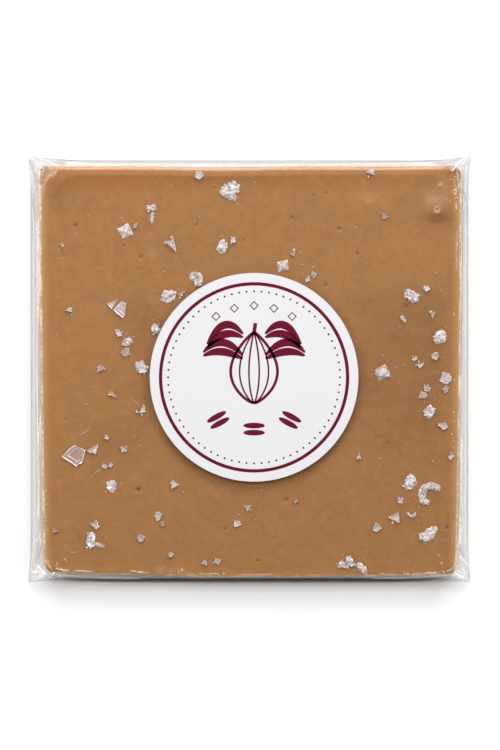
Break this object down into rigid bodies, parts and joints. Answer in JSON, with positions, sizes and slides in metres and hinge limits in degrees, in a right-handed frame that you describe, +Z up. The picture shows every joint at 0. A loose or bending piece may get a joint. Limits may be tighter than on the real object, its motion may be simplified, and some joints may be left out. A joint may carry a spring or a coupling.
{
  "type": "chocolate bar",
  "caption": "Flat square slab of caramel milk chocolate strewn with sea-salt flakes, sealed in a clear film bag with a round paper label.",
  "frame": {"origin": "middle of the bag's outline, on the surface that the pack lies on", "axes": "+Z up out of the labelled face, +X to the right across the face, +Y up the face"},
  "size_m": [0.1062, 0.1024, 0.0096],
  "materials": {
    "caramel_chocolate": "satin, smooth",
    "sea_salt": "broken crystal, half clear",
    "clear_film": "clear, glossy",
    "label_paper": "smooth coated paper",
    "crimson_ink": "printed, satin"
  },
  "bodies": {
    "root": {"chocolate_slab": "caramel_chocolate", "film_bag": "clear_film", "round_label": "label_paper"}
  },
  "joints": []
}
